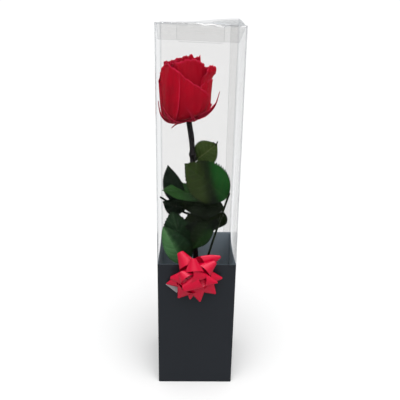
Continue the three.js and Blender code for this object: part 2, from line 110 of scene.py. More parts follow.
# The outer petals, as they lie round the head. turn is 0 to the right and -90 at the front. rim is the share of the
# side profile that a petal reaches, from its left edge to its right edge seen from outside. tips are points on the rim
# and pleats are long creases, each by place across, width and height. shades are places of painted shade, each by
# place across, width, place along, length and depth. tone is a petal's painted light and shade.
OUTER_PETALS = [
    dict(turn=-162, span=58, radius=28.6, height=62, close=0.1, rim=(0.8, 0.82, 0.845, 0.9, 0.985, 0.935, 0.88),
         open=0, over=(0.945, 1.4, 80), roll=0.2, skew=1, tone=0.45,
         pleats=((0.3, 0.14, -0.5), (0.72, 0.1, -0.4), (-0.2, 0.2, 0.4)),
         shades=((0.15, 0.25, 0.3, 0.3, 0.4), (0.62, 0.16, 0.6, 0.5, 0.2))),
    dict(turn=-72, span=57, radius=26.7, height=58, rim=(0.9, 0.945, 0.857, 0.785, 0.714, 0.623, 0.48), open=0.5,
         tone=0.3, start=0.6, pleats=((0.42, 0.08, -0.8), (-0.02, 0.1, 0.4), (-0.5, 0.12, -0.4), (0.74, 0.12, -1.3)),
         shades=((0.57, 0.14, 0.5, 0.3, 0.75), (0.27, 0.03, 0.32, 0.12, 0.8), (-0.25, 0.3, 0.3, 0.25, 0.25))),
    dict(turn=5, span=44, radius=26.6, height=58, rim=(0.4, 0.45, 0.48, 0.47, 0.48, 0.46, 0.4), tone=0.3, start=0.3),
    dict(turn=156, span=44, radius=27.2, height=52, rim=(0.8, 0.9, 0.95, 0.97, 0.95, 0.9, 0.8), open=0.4, tone=0.4),
    dict(turn=92, span=58, radius=27.2, height=55, open=1.6),
    dict(turn=-16, span=45, radius=24.9, height=58, rim=(0.74, 0.79, 0.825, 0.82, 0.81, 0.79, 0.74), tone=0.6,
         start=0.6),
    dict(turn=44, span=44, radius=24.2, height=57, rim=(0.8, 0.93, 0.97, 0.95, 0.98, 0.94, 0.86), open=1.4),
    dict(turn=-28, span=27, radius=23.2, height=60.5, rim=(0.89, 0.985, 1.02, 1.01, 0.985, 0.94, 0.84), open=6.4,
         start=0.71, end=0.91, skew=0, tone=0.9, fold=0.5),
    dict(turn=-78, span=63, radius=24, height=65, rim=(0.84, 0.93, 0.98, 0.997, 0.975, 0.89, 0.76), close=0.08,
         open=0.3, skew=0.4, tone=0.2, fold=0.5, pleats=((0.75, 0.08, -0.6), (-0.35, 0.1, -0.3))),
    dict(turn=42, span=44, radius=22.2, height=65.8, rim=(0.76, 0.79, 0.83, 0.89, 0.965, 0.95, 0.945), close=0.04,
         open=1.2, tips=((0.22, 0.07, 0.05), (0.42, 0.16, 0.015), (-0.36, 0.05, 0.03)), tone=0.6),
    dict(turn=128, span=62, radius=23.6, height=65.8, rim=(0.965, 0.985, 0.965, 0.94, 0.93, 0.935, 0.93), close=0.08,
         tips=((-0.8, 0.08, 0.025),), open=0.8, tone=0.6),
    dict(turn=-168, span=50, radius=22.8, height=62, rim=(0.9, 0.95, 0.98, 0.97, 0.985, 0.95, 0.9), close=0.05),
]

# Rings of inner petals, from the outermost in: how many, and what they have in common.
# The inner rings' lower tone is painted shade inside the head.
INNER_RINGS = [
    (4, dict(turn=-40, span=54, radius=18.2, height=61, close=0.08, open=0.8, tone=0.4)),
    (3, dict(turn=-80, span=64, radius=12.9, height=61.5, close=0.12, open=0.2, tone=0.3)),
    (2, dict(turn=20, span=94, radius=7.5, height=61, close=0.2, open=0, tone=0.25)),
]
INNER_STEPS = (44, 60)

# Sepals by width, and as paths from the bloom's foot.
SEPALS = [
    (7.4, [(4, -4, 0.6), (8, -11, 4), (11.2, -14.5, 6.8), (16.9, -13.5, 8.8), (22.9, -9.5, 11.6), (28.2, -6, 17.2),
           (30.6, -5, 22), (33.2, -4, 31.5)]),
    (5.4, [(-1, -4, 0.4), (-10, -9, 0.8), (-18.5, -9, 1), (-25, -6.5, 5.6), (-27.6, -4, 11.8), (-28.9, -2, 20.6)]),
    (3.4, [(0, -5, 0.5), (-7, -15.6, 1.2), (-13.6, -21.4, 4.2), (-19.8, -22.4, 11.2), (-23.3, -20.6, 18.1)]),
    (3.4, [(2, -5, 1), (7, -18.5, 4), (5.6, -26.6, 10.5), (-1, -29.6, 21)]),
    (2.6, [(0, -4, 0.2), (-5, -10, 0.2), (-10.6, -14, -0.6), (-15.5, -16, -4.4)]),
    (4, [(4, 3, 0.6), (11, 13, 4.4), (14.5, 20, 10), (15.5, 23.5, 18), (15, 24, 30)]),
    (4, [(-1, 4, 0.4), (-10, 13, 1.6), (-16.5, 19.5, 6.4), (-19.2, 21.5, 14), (-19, 21.5, 27)]),
]

TEETH, VEINS = 20, 7  # along each edge of a leaflet
# Stalks and twigs take 0.8 of the leaves' painted shade.
TWIG_PAINT = (0, 0.8, 0)
# Compound leaves: the stalk's points and the side twigs', then the leaflets by base, tip, the way that the upper side
# faces, width, and what leaflet_part says of the rest.
LEAVES = {
    "leaf_top": dict(
        stalk=[(-2.6, 1.6, 259.5), (-1.4, 3.2, 261.5), (0.5, 4.2, 263)],
        twigs=[[(17.5, 5.6, 271.5), (18.6, 5.9, 274.5), (20.8, 6.2, 279)], [(19.2, 6, 275.6), (16.4, 5.8, 278.4)]],
        leaflets=[dict(base=(-1.5, 4, 260), tip=(20.5, 7, 276.5), face=(0.1, -1, 0.25), width=28)],
    ),
    "leaf_right": dict(
        stalk=[(3.1, -2.9, 92), (6, -13, 122), (14.3, -27, 165.8), (24.1, -28, 202.1), (32.8, -29, 232.8)],
        twigs=[[(21.6, -28, 193), (18, -27.4, 195.5), (14.5, -26.9, 197.5)]],
        leaflets=[
            dict(base=(30.3, -28.3, 228), tip=(-14.5, -12, 259.5), face=(0.15, -1, 0.3), width=43, arch=3,
                 painted_shade=(0.1, 0), bright=(0, 1), fold=1, split=8),
            dict(base=(27.2, -28, 216), tip=(-20, -13, 214.5), face=(0.1, -1, 0.5), width=24, painted_shade=(0.9, 0.9)),
            dict(base=(24, -27.6, 203), tip=(-17, -14, 191), face=(-0.1, -1, 0.35), width=29, painted_shade=(1, 0.8)),
            dict(base=(15, -26.8, 198), tip=(-4.5, -29, 168), face=(-0.3, -1, 0.3), width=27, painted_shade=(0.6, 0.85),
                 bright=(0.6, 0.2), sides=(0.72, 1)),
            dict(base=(26, -27.5, 211), tip=(13.5, -12, 183), face=(0.35, -1, 0.1), width=22, painted_shade=(0.8, 0.8)),
        ],
    ),
    "leaf_left": dict(
        stalk=[(-6.6, -2.2, 194), (-9.5, -5, 199), (-15.8, -8, 203), (-28, -11, 213), (-39.8, -14, 222)],
        twigs=[[(-15.8, -8, 203), (-8, -9, 212), (4, -10.5, 221.5)]],
        leaflets=[
            dict(base=(4, -10.5, 221.5), tip=(-38.5, -17, 231), face=(0, -0.4, 1), width=29, bright=(0.7, 0.9)),
            dict(base=(-20, -8.5, 213), tip=(-32.4, -5, 255.5), face=(-0.3, -1, 0.1), width=23, painted_shade=(0.4, 0.4)),
            dict(base=(-12.5, -7.5, 208), tip=(-37.5, -17, 218), face=(0.2, -1, -0.25), width=25, painted_shade=(0.8, 0.8)),
        ],
    ),
    "leaf_low": dict(
        stalk=[(-3.2, -2.6, 100), (-8, -11, 118), (-13, -16.5, 136), (-15.8, -18, 149)],
        twigs=[],
        leaflets=[
            dict(base=(-14.5, -17.5, 143.5), tip=(-37, -21, 190), face=(-0.1, -1, 0.2), width=36, painted_shade=(0, 0.75),
                 bright=(0.45, 0), sides=(0.6, 1.1), point=0.1),
            dict(base=(-12, -14.5, 152), tip=(-28, -13.5, 206), face=(-0.1, -1, 0.2), width=38, painted_shade=(0.75, 0.85),
                 point=0.2),
        ],
    ),
}
# Each leaf's vein colour, painted-light colour, roughness and slot.
LEAF_LOOKS = {
    "leaf_top": ((0.12, 0.14, 0.05), (0.07, 0.1, 0.03), 0.5, "leaf_olive"),
    "leaf_right": ((0.03, 0.07, 0.015), (0.005, 0.048, 0.006), 0.36, "leaf_green"),
    "leaf_left": ((0.02, 0.035, 0.015), (0.022, 0.072, 0.016), 0.4, "leaf_dark"),
    "leaf_low": ((0.12, 0.22, 0.1), (0.09, 0.24, 0.08), 0.42, "leaf_light"),
}

# ---------- the bow's tables ----------
BOW_HUB = np.array([-2.5, -43.7, 147])
# Ribbon loops by tier, which is how far the tier stands out from the pad. tip is the point of the loop's cone, to the
# right of the hub, out from the pad and up, and aim is how far to the right and up of the hub the loop sets out from.
# cone is half the cone's angle, blunt is how far the ribbon stays from the cone's point, and ribbon is its width where
# it shows another one. flat squashes the cone, tilt raises its mouth, and the ribbon's ends leave the cone past hold.
TIERS = {
    2: [
        dict(tip=(30, 2, 21.4), aim=(-3, 9), cone=25, blunt=3, ribbon=20, flat=0.4, tilt=0, hold=0.3),
        dict(tip=(31.5, 3, -5.1), cone=28, blunt=2),
        dict(tip=(24, 4, -24.6), cone=33, blunt=1.5, ribbon=19, flat=0.5, tilt=6),
        dict(tip=(-4.7, 3, -32.7), cone=27, blunt=1.5, ribbon=19, flat=0.5, tilt=6),
        dict(tip=(-31.3, 2, -13.4), cone=26, blunt=1.5),
    ],
    6.5: [
        dict(tip=(-20, 5, 34.9), cone=21, blunt=8.5, tilt=5),
        dict(tip=(25.7, 8, 20.5), cone=25, blunt=5, tilt=8, ribbon=14),
        dict(tip=(-28.2, 7, -2.7), cone=28, blunt=3),
        dict(tip=(-17.9, 6, -29), cone=32, blunt=1.5, ribbon=18, flat=0.5, tilt=6),
        dict(tip=(6.7, 6, -33.8), cone=28, blunt=1.5, ribbon=22, flat=0.4, tilt=3),
        dict(tip=(25.8, 14, -4.5), cone=28, blunt=1.5, ribbon=14, flat=0.45),
    ],
    14: [
        dict(tip=(15, 15, 3), aim=(-6, 6), cone=34, blunt=4, tilt=2, flat=0.5, hold=0.65),
        dict(tip=(-2.5, 15, 30), aim=(0.5, 0), cone=26, blunt=5, ribbon=14, tilt=4),
        dict(tip=(-18.5, 17, 13.5), aim=(-4, -2), cone=30, blunt=5, ribbon=9, tilt=8),
        dict(tip=(-25.8, 21, -16), aim=(14, 3), cone=15, blunt=16, ribbon=20, tilt=0, flat=0.36, hold=0.5),
    ],
}
# The backing paper's corner, as X and Z of its upper left, upper right, lower left and lower right ends.
TAB_CORNERS = [(-33.8, 132), (-16, 137), (-21.8, 121.8), (-13, 129)]


# ---------- shapes ----------
class Part(NamedTuple):
    """One closed shape of quads, and of triangles that fan round its poles. paint is three numbers for each point."""

    points: np.ndarray
    quads: np.ndarray
    fans: np.ndarray
    uv: np.ndarray
    paint: np.ndarray
    finish: np.ndarray


NO_FANS = np.zeros((0, 3), int)


def grid(rows, columns):
    """u from 0 to 1 along the rows and v from -1 to 1 across them."""
    return np.meshgrid(np.linspace(0, 1, rows + 1), np.linspace(-1, 1, columns + 1), indexing="ij")


def edged_grid(rows, columns, length, width, line=1.0):
    """A grid whose outermost steps are a line wide on a sheet of that size, and 1 for the points on its edge."""
    u, v = np.linspace(0, 1, rows + 1), np.linspace(-1, 1, columns + 1)
    u[[1, -2]] = line / length, 1 - line / length
    v[[1, -2]] = 2 * line / width - 1, 1 - 2 * line / width
    u, v = np.meshgrid(u, v, indexing="ij")
    return u, v, np.where((u == 0) | (u == 1) | (np.abs(v) == 1), 1.0, 0.0)


def unit(vectors):
    """Each vector divided by its length."""
    return vectors / np.maximum(np.linalg.norm(vectors, axis=-1, keepdims=True), 1e-9)


def normals(points):
    """The cross product of a grid's slope along its rows and its slope across them."""
    return unit(np.cross(np.gradient(points, axis=0), np.gradient(points, axis=1)))


def smoothstep(low, high, x):
    """3t² - 2t³, where t goes from 0 at low to 1 at high."""
    t = np.clip((x - low) / (high - low), 0, 1)
    return t * t * (3 - 2 * t)


def bell(x, middle, width):
    """exp(-d²), where d is the distance from the middle in widths."""
    return np.exp(-(((x - middle) / width) ** 2))


def stack(*arrays):
    """Arrays of one shape side by side as vectors."""
    return np.stack(np.broadcast_arrays(*arrays), axis=-1)


def uv_map(rows, columns):
    """A grid's own parameters from 0 to 1, along its rows and across them."""
    u, v = grid(rows - 1, columns - 1)
    return stack(u, v / 2 + 0.5).reshape(-1, 2)


def sheet(points, thickness, *paint, flip=False, front=0, back=0):
    """A closed sheet: the grid moved half its thickness to each side along its normals, and a rim that joins the two.

    paint gives up to three numbers for each point. flip turns the sheet's other side to the front. front and back are
    the finishes of the two sides.
    """
    rows, columns = points.shape[:2]
    paint = np.broadcast_to(stack(*paint, *[0.0] * (3 - len(paint))), points.shape)
    if flip:
        points, paint = points[:, ::-1], paint[:, ::-1]
    offset = normals(points) * (np.broadcast_to(thickness, (rows, columns)) / 2)[..., None]
    far = rows * columns
    index = np.arange(far).reshape(rows, columns)
    a, b, c, d = (x.ravel() for x in (index[:-1, :-1], index[1:, :-1], index[1:, 1:], index[:-1, 1:]))
    loop = np.concatenate([index[:-1, 0], index[-1, :-1], index[:0:-1, -1], index[0, :0:-1]])
    after = np.roll(loop, -1)
    quads = [stack(a, b, c, d), stack(a, d, c, b) + far, stack(after, loop, loop + far, after + far)]
    finish = np.repeat([front, back, front], [len(q) for q in quads])
    both = np.concatenate([points + offset, points - offset]).reshape(-1, 3)
    uv, paint = np.tile(uv_map(rows, columns), (2, 1)), np.tile(paint.reshape(-1, 3), (2, 1))
    return Part(both, np.concatenate(quads), NO_FANS, uv, paint, finish)


def rings(points, looped=False, finish=0, paint=(0, 0, 0)):
    """A closed solid of rings, each joined to the next. Its two ends close to poles, or meet if it is looped.

    finish is one number, or one for each band between two rings.
    """
    rows, columns = points.shape[:2]
    index = np.arange(rows * columns).reshape(rows, columns)
    a = index if looped else index[:-1]
    b = np.roll(index, -1, axis=0) if looped else index[1:]
    quads = stack(a, np.roll(a, -1, axis=1), np.roll(b, -1, axis=1), b).reshape(-1, 4)
    flat, fans = points.reshape(-1, 3), NO_FANS
    if not looped:
        low, high = index[0], index[-1]
        fans = [stack(index.size, np.roll(low, -1), low), stack(index.size + 1, high, np.roll(high, -1))]
        fans = np.concatenate(fans)
        flat = np.concatenate([flat, points[[0, -1]].mean(axis=1)])
    uv = np.zeros((len(flat), 2))
    uv[: index.size] = uv_map(rows, columns)
    finish = np.repeat(np.broadcast_to(finish, len(a)), columns)
    return Part(flat, quads, fans, uv, np.broadcast_to(paint, flat.shape), np.append(finish, np.zeros(len(fans), int)))


def spline(points, t):
    """A Catmull-Rom curve through the points, at t, which counts the points from 0."""
    p = np.array(points, float)
    p = np.concatenate([2 * p[:1] - p[1:2], p, 2 * p[-1:] - p[-2:-1]])
    i = np.clip(t.astype(int), 0, len(points) - 2)
    f = (t - i).reshape(t.shape + (1,) * (p.ndim - 1))
    a, b, c, d = p[i], p[i + 1], p[i + 2], p[i + 3]
    return 0.5 * (2 * b + (c - a) * f + (2 * a - 5 * b + 4 * c - d) * f**2 + (3 * b - a - 3 * c + d) * f**3)


def smooth_path(points, steps):
    """A spline through the points, in even steps of its parameter."""
    return spline(points, np.linspace(0, len(points) - 1, steps + 1))


def tube(path, radius, sides, ridges=0.0, paint=(0, 0, 0)):
    """A round bar along a path with rounded ends, and three shallow ridges that wind slowly round it.

    radius is one number, or one for each step of the path.
    """
    aside = np.array([1.0, 0.35, 0])
    tangent = unit(np.gradient(path, axis=0))
    normal = unit(aside - tangent * (tangent @ aside)[:, None])
    other = np.cross(tangent, normal)
    angle = np.linspace(0, 2 * np.pi, sides, endpoint=False)
    radius = np.broadcast_to(radius, len(path))
    wide = radius[:, None] + ridges * np.sin(3 * angle + 0.05 * np.arange(len(path))[:, None])
    circle = np.cos(angle)[None, :, None] * normal[:, None] + np.sin(angle)[None, :, None] * other[:, None]
    body = path[:, None] + wide[..., None] * circle
    domes = [
        np.array([
            path[end] + way * radius[end] * s * tangent[end] + np.cos(np.arcsin(s)) * (body[end] - path[end])
            for s in (0.5, 0.9)[::way]
        ])
        for end, way in ((0, -1), (-1, 1))
    ]
    return rings(np.concatenate([domes[0], body, domes[1]]), paint=paint)


def make_piece(name, parts, finishes, body="box", replaces=(), sharp=40):
    """Joins closed parts into one object with its UV map, paint and materials, and ties it to its CAD body."""
    points, uv, paint, finish = (
        np.concatenate([getattr(part, field) for part in parts]) for field in ("points", "uv", "paint", "finish")
    )
    faces, start = [], 0
    for part in parts:
        faces += (part.quads + start).tolist() + (part.fans + start).tolist()
        start += len(part.points)
    mesh = bpy.data.meshes.new(name)
    mesh.from_pydata(points * MM, [], faces)
    mesh.polygons.foreach_set("material_index", finish.astype(np.int32))
    mesh.polygons.foreach_set("use_smooth", np.ones(len(faces), bool))
    corner = np.empty(len(mesh.loops), np.int32)
    mesh.loops.foreach_get("vertex_index", corner)
    mesh.uv_layers.new(name="UVMap").data.foreach_set("uv", uv[corner].ravel())
    colours = np.hstack([paint, np.ones((len(paint), 1))]).astype(np.float32)
    mesh.attributes.new("paint", "FLOAT_COLOR", "POINT").data.foreach_set("color", colours.ravel())
    mesh.set_sharp_from_angle(angle=np.radians(sharp))
    mesh.update()
    piece = bpy.data.objects.new(name, mesh)
    bpy.context.scene.collection.objects.link(piece)
    for made in finishes:
        mesh.materials.append(made)
    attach(piece, body)
    if replaces:
        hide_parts(*replaces)


def refinish(node, made):
    """Gives a CAD node that stays in sight this material alone."""
    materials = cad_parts[node].data.materials
    materials.clear()
    materials.append(made)


# ---------- materials ----------
def add(tree, kind, inputs=None, **settings):
    """A new node. Each input is a value, or a socket to link from."""
    node = tree.nodes.new(kind)
    for key, value in settings.items():
        setattr(node, key, value)
    for key, value in (inputs or {}).items():
        if isinstance(value, bpy.types.NodeSocket):
            tree.links.new(value, node.inputs[key])
        else:
            node.inputs[key].default_value = value
    return node


def math(tree, operation, *values):
    """A Math node's output."""
    return add(tree, "ShaderNodeMath", dict(enumerate(values)), operation=operation).outputs[0]


def mix(tree, factor, a, b):
    """A colour between a and b."""
    return add(tree, "ShaderNodeMix", {0: factor, 6: a, 7: b}, data_type="RGBA").outputs[2]


def blend(tree, factor, a, b):
    """A shader between a and b."""
    return add(tree, "ShaderNodeMixShader", {0: factor, 1: a, 2: b}).outputs[0]


def rgba(colour, share=1):
    """A share of a colour, with full alpha."""
    return (*(share * x for x in colour[:3]), 1.0)


def group(name, inputs, outputs):
    """An empty node group with named sockets, its inputs as sockets to link from, and its output node."""
    tree = bpy.data.node_groups.new(name, "ShaderNodeTree")
    for way, sockets in (("INPUT", inputs), ("OUTPUT", outputs)):
        for socket, kind in sockets.items():
            tree.interface.new_socket(name=socket, in_out=way, socket_type=f"NodeSocket{kind}")
    return tree, tree.nodes.new("NodeGroupInput").outputs, tree.nodes.new("NodeGroupOutput")


def mottle_group():
    """Colour that drifts between a darker and a lighter tone in soft patches, with the same patches as a height."""
    inputs = {"Color": "Color", "Vector": "Vector", "Scale": "Float", "Amount": "Float"}
    tree, given, made = group("Mottle", inputs, {"Color": "Color", "Height": "Float"})
    texture = {"Vector": given["Vector"], "Scale": given["Scale"], "Detail": 5.0, "Roughness": 0.6}
    noise = add(tree, "ShaderNodeTexNoise", texture).outputs["Fac"]
    gain = math(tree, "MULTIPLY_ADD", math(tree, "SUBTRACT", noise, 0.5), given["Amount"], 1.0)
    scaled = add(tree, "ShaderNodeVectorMath", {0: given["Color"], "Scale": gain}, operation="SCALE")
    tree.links.new(scaled.outputs[0], made.inputs["Color"])
    tree.links.new(noise, made.inputs["Height"])
    return tree


def streak_group():
    """Fine streaks along u of a surface, from noise that is stretched along it."""
    inputs = {"UV": "Vector", "Across": "Float", "Along": "Float"}
    tree, given, made = group("Streaks", inputs, {"Height": "Float"})
    u, v, _ = add(tree, "ShaderNodeSeparateXYZ", {0: given["UV"]}).outputs
    scaled = {0: math(tree, "MULTIPLY", u, given["Along"]), 1: math(tree, "MULTIPLY", v, given["Across"])}
    place = add(tree, "ShaderNodeCombineXYZ", scaled).outputs[0]
    noise = add(tree, "ShaderNodeTexNoise", {"Vector": place, "Scale": 1.0, "Detail": 3.0})
    tree.links.new(noise.outputs["Fac"], made.inputs["Height"])
    return tree


SHARED = {"Mottle": mottle_group, "Streaks": streak_group}


def use(tree, name, inputs):
    """The outputs of a shared node group, which is made on first use and placed with its own values."""
    made = bpy.data.node_groups.get(name) or SHARED[name]()
    return add(tree, "ShaderNodeGroup", inputs, node_tree=made).outputs


def where(tree, kind="Object"):
    """The place on the surface, as Object or UV coordinates."""
    return add(tree, "ShaderNodeTexCoord").outputs[kind]


def mottled(tree, colour, scale, amount):
    """A mottled colour, and the mottling's height."""
    return use(tree, "Mottle", {"Color": colour, "Vector": where(tree), "Scale": scale, "Amount": amount})


def streaked(tree, across, along):
    """The height of streaks, by how many there are across the surface and how often they change along it."""
    return use(tree, "Streaks", {"UV": where(tree, "UV"), "Across": across, "Along": along})[0]


def cells(tree, scale):
    """The distance from the middle of small cells."""
    return add(tree, "ShaderNodeTexVoronoi", {"Vector": where(tree), "Scale": scale}).outputs["Distance"]


def bump(tree, height, distance):
    """A Bump node's normal, with its depth in millimetres."""
    return add(tree, "ShaderNodeBump", {"Height": height, "Distance": distance * MM}).outputs[0]


def painted(tree):
    """The piece's three painted numbers."""
    paint = add(tree, "ShaderNodeAttribute", attribute_name="paint")
    return add(tree, "ShaderNodeSeparateColor", {0: paint.outputs["Color"]}).outputs


def principled(tree, **inputs):
    """A Principled shader. Its inputs are named with _ for a space."""
    named = {key.replace("_", " "): value for key, value in inputs.items()}
    return add(tree, "ShaderNodeBsdfPrincipled", named).outputs[0]


def material(shader):
    """Turns a function that builds a shader in an empty tree into one that makes a material of a given name."""
    def maker(name, *looks):
        made = bpy.data.materials.new(name)
        made.use_nodes = True
        tree = made.node_tree
        tree.nodes.clear()
        out = add(tree, "ShaderNodeOutputMaterial")
        tree.links.new(shader(tree, *looks), out.inputs["Surface"])
        return made

    return maker


@material
def petal_finish(tree, colour, rim):
    """Velvety petal with fine veins: paint gives painted light and shade, and a paler rim, a painted highlight."""
    tone, edge, _ = painted(tree)
    veins = streaked(tree, 70.0, 5.0)
    edged = mix(tree, edge, mix(tree, tone, rgba(colour, 0.36), rgba(colour)), rgba(rim))
    soft, height = mottled(tree, edged, 90.0, 0.5)
    return principled(
        tree, Base_Color=mix(tree, math(tree, "MULTIPLY", veins, 0.2), soft, rgba(colour, 0.4)), Roughness=0.6,
        Specular_IOR_Level=0.05, Sheen_Weight=0.02, Sheen_Roughness=0.4, Sheen_Tint=rgba((1.0, 0.1, 0.2)),
        Normal=bump(tree, math(tree, "ADD", veins, height), 0.08),
    )


@material
def leaf_finish(tree, colour, vein, lit_patch, gloss):
    """Waxed leaf: paint gives its veins, its painted shade and its painted light, in that order."""
    lines, painted_shade, bright = painted(tree)
    # Painted light moves the colour to the lit colour, and painted shade to a near-black shadow green.
    lit_and_shaded = mix(tree, painted_shade, mix(tree, bright, rgba(colour), rgba(lit_patch)), (0.0018, 0.004, 0.0018, 1))
    toned, height = mottled(tree, lit_and_shaded, 120.0, 0.7)
    lit = math(tree, "MULTIPLY", lines, math(tree, "SUBTRACT", 0.4, math(tree, "MULTIPLY", painted_shade, 0.38)))
    rough = math(tree, "ADD", height, math(tree, "MULTIPLY", cells(tree, 900.0), 0.6))
    return principled(
        tree, Base_Color=mix(tree, lit, toned, rgba(vein)), Roughness=gloss, Specular_IOR_Level=0.06,
        Normal=bump(tree, rough, 0.15),
    )


@material
def woody_finish(tree, colour, light):
    """Stem bark: dark, a little paler in long streaks, with a fine grain."""
    streaks = streaked(tree, 14.0, 30.0)
    toned, height = mottled(tree, mix(tree, streaks, rgba(colour), rgba(light)), 260.0, 0.8)
    return principled(
        tree, Base_Color=toned, Roughness=0.5, Specular_IOR_Level=0.12,
        Normal=bump(tree, math(tree, "ADD", streaks, height), 0.2),
    )


@material
def print_finish(tree, colour, gloss):
    """Smooth ink on plastic sheet, with faint handling marks that hardly change anything but the gloss."""
    toned, height = mottled(tree, rgba(colour), 22.0, 0.12)
    rough = add(tree, "ShaderNodeMapRange", {0: height, 3: gloss - 0.06, 4: gloss + 0.08}).outputs[0]
    return principled(
        tree, Base_Color=toned, Roughness=rough, Specular_IOR_Level=0.22, Normal=bump(tree, height, 0.08)
    )


@material
def clear_finish(tree, tint, crease, roughness):
    """Thin clear plastic: paint gives greyer folds and edges, a painted shade, and white glints, a painted highlight.

    At a grazing angle it passes light straight through, and so it does for shadow rays, to light what is inside.
    """
    folds, marks, _ = painted(tree)
    toned, height = mottled(tree, mix(tree, folds, rgba(tint), rgba(crease)), 14.0, 0.04)
    plastic = principled(
        tree, Base_Color=toned, Roughness=roughness, IOR=1.07, Transmission_Weight=1.0, Specular_IOR_Level=0.5,
        Normal=bump(tree, height, 0.3),
    )
    through = add(tree, "ShaderNodeBsdfTransparent", {"Color": (0.96, 0.965, 0.97, 1)}).outputs[0]
    facing = add(tree, "ShaderNodeLayerWeight").outputs["Facing"]
    grazing = add(tree, "ShaderNodeMapRange", {0: facing, 1: 0.8, 2: 0.93}).outputs[0]
    straight = math(tree, "MAXIMUM", grazing, add(tree, "ShaderNodeLightPath").outputs["Is Shadow Ray"])
    # This white shader paints the glints, a painted highlight.
    white = principled(tree, Base_Color=(0.95, 0.95, 0.95, 1), Roughness=0.5)
    return blend(tree, marks, blend(tree, straight, plastic, through), white)


@material
def ribbon_finish(tree, colour, light):
    """Satin plastic ribbon with fine lighter ribs along it: painted shade makes it deeper and duller near the hub."""
    painted_hub_shade = painted(tree)[0]
    ribs = streaked(tree, 120.0, 2.0)
    base = mix(tree, math(tree, "MULTIPLY", ribs, 0.25), rgba(colour), rgba(light))
    return principled(
        tree, Base_Color=mix(tree, painted_hub_shade, base, rgba(colour, 0.7)),
        Roughness=math(tree, "MULTIPLY_ADD", painted_hub_shade, 0.3, 0.24),
        Specular_IOR_Level=0.6, Specular_Tint=rgba((1.0, 0.5, 0.6)), Normal=bump(tree, ribs, 0.04),
    )


@material
def foam_finish(tree, colour):
    """Floral foam: fine open cells."""
    toned, _ = mottled(tree, rgba(colour), 90.0, 0.6)
    return principled(tree, Base_Color=toned, Roughness=0.95, Normal=bump(tree, cells(tree, 1400.0), 0.5))


@material
def plain_finish(tree, colour, roughness, scale, amount):
    """A matte surface with a faint unevenness."""
    toned, height = mottled(tree, rgba(colour), scale, amount)
    return principled(tree, Base_Color=toned, Roughness=roughness, Normal=bump(tree, height, 0.1))


@material
def floor_finish(tree, colour):
    """A matte pale floor that gives the object less bounced light than a white one would."""
    light = add(tree, "ShaderNodeLightPath").outputs
    mirrored = math(tree, "GREATER_THAN", light["Is Glossy Ray"], light["Is Transmission Ray"])
    bounced = math(tree, "MAXIMUM", light["Is Diffuse Ray"], mirrored)
    toned, _ = mottled(tree, mix(tree, bounced, rgba(colour), rgba(colour, 0.4)), 2.0, 0.02)
    return principled(tree, Base_Color=toned, Roughness=0.8, Specular_IOR_Level=0.2)


# ---------- the box ----------
def wall_give(x, y, z):
    """How far the sheet gives inwards: each wall bows most at its middle and beside the print's top line."""
    on_side = np.abs(x) > np.abs(y)
    across = np.clip(1 - (np.where(on_side, y, x) / HALF) ** 2, 0, 1)
    most = np.where(on_side, np.where(x > 0, GIVE["right"], GIVE["left"]), np.where(y > 0, GIVE["back"], GIVE["front"]))
    return most * across * bell(z, PRINT_TOP + 8, 75)


def outline(half, radius):
    """A square with rounded corners, counterclockwise from the middle of the right side."""
    turn = np.linspace(0, np.pi / 2, CORNER_STEPS + 1)
    straight = np.linspace(-1, 1, WALL_STEPS + 1)[1:-1]
    straight[[0, -1]] = -0.985, 0.985
    arc = half - radius + radius * stack(np.cos(turn), np.sin(turn))
    quarter = np.concatenate([stack(half, straight * (half - radius)), arc])
    spins = [[[np.cos(a), np.sin(a)], [-np.sin(a), np.cos(a)]] for a in np.arange(4) * np.pi / 2]
    return (quarter @ np.array(spins)).reshape(-1, 2)


def wall_ring(half, radius, z):
    """The outline at one height or at one height for each point, moved inwards by the sheet's give."""
    x, y = outline(half, radius).T
    give = wall_give(x, y, z)
    on_side = np.abs(x) > np.abs(y)
    return stack(x - give * np.where(on_side, np.sign(x), 0), y - give * np.where(on_side, 0, np.sign(y)), z)


def corner_rise(x, y):
    """How far the box's top stands up: most at its back right corner, and a little at its front left one."""
    x, y = x / HALF, y / HALF
    back_right = BACK_RIGHT_RISE * smoothstep(-0.6, 1, x) * smoothstep(-1, 1, y)
    return back_right + FRONT_LEFT_RISE * smoothstep(1, -1, x) * smoothstep(1, -1, y)


def creased(part):
    """The same part, with painted shade of 1 as its paint's first number along the folded corners."""
    corner = HALF - FOLD_RADIUS
    fold = smoothstep(corner - 0.6, corner + 0.2, np.abs(part.points[:, :2]).min(axis=1))
    return part._replace(paint=stack(fold, 0, 0))


def base_part():
    """The printed walls, up the outside and down the inside, and the floor."""
    heights = np.linspace(0, PRINT_TOP, 15)
    rows = [wall_ring(share * HALF, FOLD_RADIUS * share, 0) for share in (0.3, 0.7, 0.985)]
    rows += [wall_ring(HALF, FOLD_RADIUS, max(z, 0.3)) for z in heights]
    outside = len(rows) - 1
    rows += [wall_ring(INSIDE, FOLD_RADIUS - WALL, max(z, FLOOR_TOP)) for z in heights[::-1]]
    rows += [wall_ring(share * INSIDE, FOLD_RADIUS * share, FLOOR_TOP) for share in (0.7, 0.3)]
    return creased(rings(np.array(rows), finish=np.arange(len(rows) - 1) >= outside))


def glue_flap(low, high, finish=0):
    """The sheet's last panel, stuck inside the back wall at the right corner, with its own slight wave."""
    u, v, edge = edged_grid(24, 8, high - low, 2 * GLUE_HALF, 0.8)
    x = HALF - GLUE_HALF - 1 + GLUE_HALF * v
    z = low + (high - low) * u
    y = INSIDE - 0.35 - wall_give(x, HALF, z) + 0.1 * np.sin(z / 17) * (1 - v)
    return sheet(stack(x, y, z), WALL, edge * (v < 0), front=finish, back=finish)


